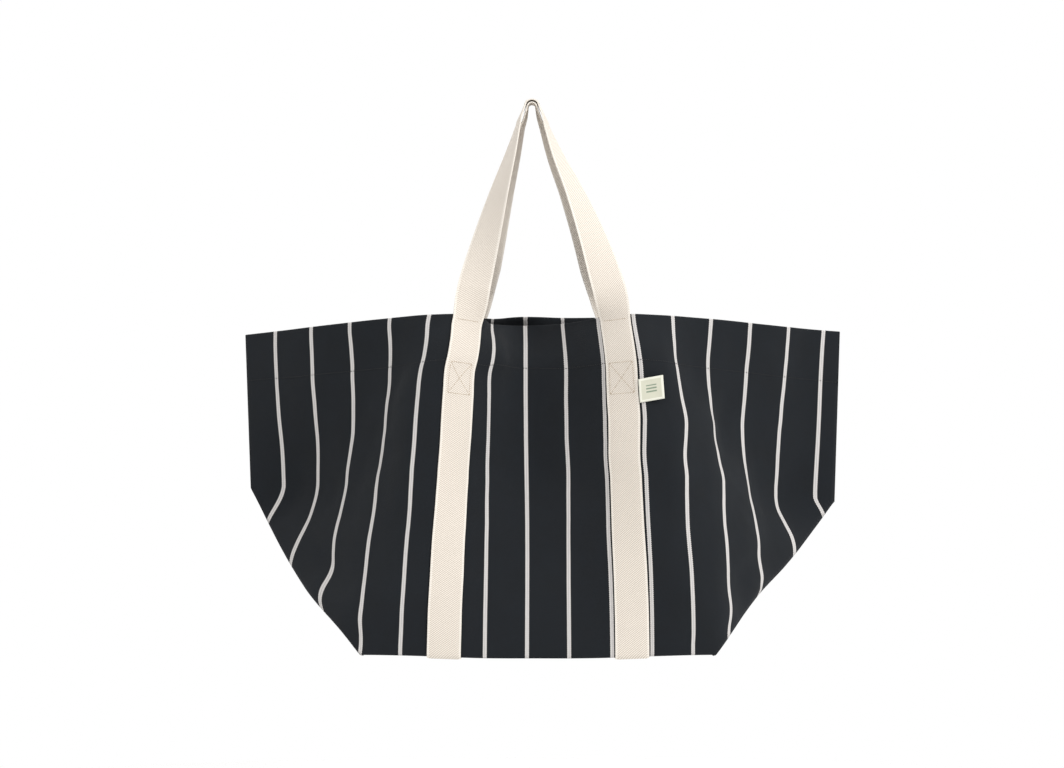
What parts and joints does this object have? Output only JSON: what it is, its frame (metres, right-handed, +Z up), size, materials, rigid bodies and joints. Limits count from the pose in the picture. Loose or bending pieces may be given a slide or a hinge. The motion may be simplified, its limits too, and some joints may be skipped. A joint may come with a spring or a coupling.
{
  "type": "laundry bag",
  "caption": "Hanging canvas laundry carrier with two webbing handles, a hemmed mouth, folded side pieces and a base that folds up inside.",
  "frame": {"origin": "underside of the inner handle's crown, where the bag hangs on a hook", "axes": "+X to the right of someone facing the label, +Y to the back of the bag, +Z up"},
  "size_m": [0.728, 0.3084, 0.6751],
  "materials": {
    "canvas": "dark slate cotton twill with narrow pale woven stripes",
    "webbing": "natural cotton webbing, diagonal rib, matt",
    "strap_thread": "beige sewing thread",
    "hem_thread": "near-black sewing thread",
    "seam_binding": "dark cotton seam tape",
    "label_cloth": "woven cream label with a plain green ring"
  },
  "bodies": {
    "base": {"side_right": "canvas", "side_left": "canvas", "side_hem_right": "canvas", "side_hem_left": "canvas", "side_tuck_right": "canvas", "side_tuck_left": "canvas", "side_seam_right": "seam_binding", "side_seam_left": "seam_binding", "base_panel": "canvas", "base_seam_right": "seam_binding", "base_seam_left": "seam_binding", "base_strap_right": "webbing", "base_strap_left": "webbing", "back_panel": "canvas", "back_hem": "canvas", "back_strap_right": "webbing", "back_strap_left": "webbing", "back_strap_stitches": "strap_thread", "back_hem_stitches": "hem_thread"},
    "front": {"front_panel": "canvas", "front_hem": "canvas", "front_strap_right": "webbing", "front_strap_left": "webbing", "front_strap_stitches": "strap_thread", "front_hem_stitches": "hem_thread"},
    "front_handle": {"front_handle": "webbing"},
    "back_handle": {"back_handle": "webbing"},
    "label": {"woven_label": "label_cloth"}
  },
  "joints": [
    {"name": "front_opens", "type": "hinge", "parent": "base", "child": "front", "pos_m": [0.008, -0.152, -0.663], "axis": [1, 0, 0], "range_deg": [0, 8]},
    {"name": "front_handle_swings", "type": "hinge", "parent": "front", "child": "front_handle", "pos_m": [0.008, -0.098, -0.258], "axis": [1, 0, 0], "range_deg": [0, 180]},
    {"name": "back_handle_swings", "type": "hinge", "parent": "base", "child": "back_handle", "pos_m": [0.008, 0.098, -0.258], "axis": [-1, 0, 0], "range_deg": [0, 180]},
    {"name": "label_lifts", "type": "hinge", "parent": "front", "child": "label", "pos_m": [0.1261, -0.1214, -0.3353], "axis": [0.0691, 0, -0.9976], "range_deg": [0, 85]}
  ]
}
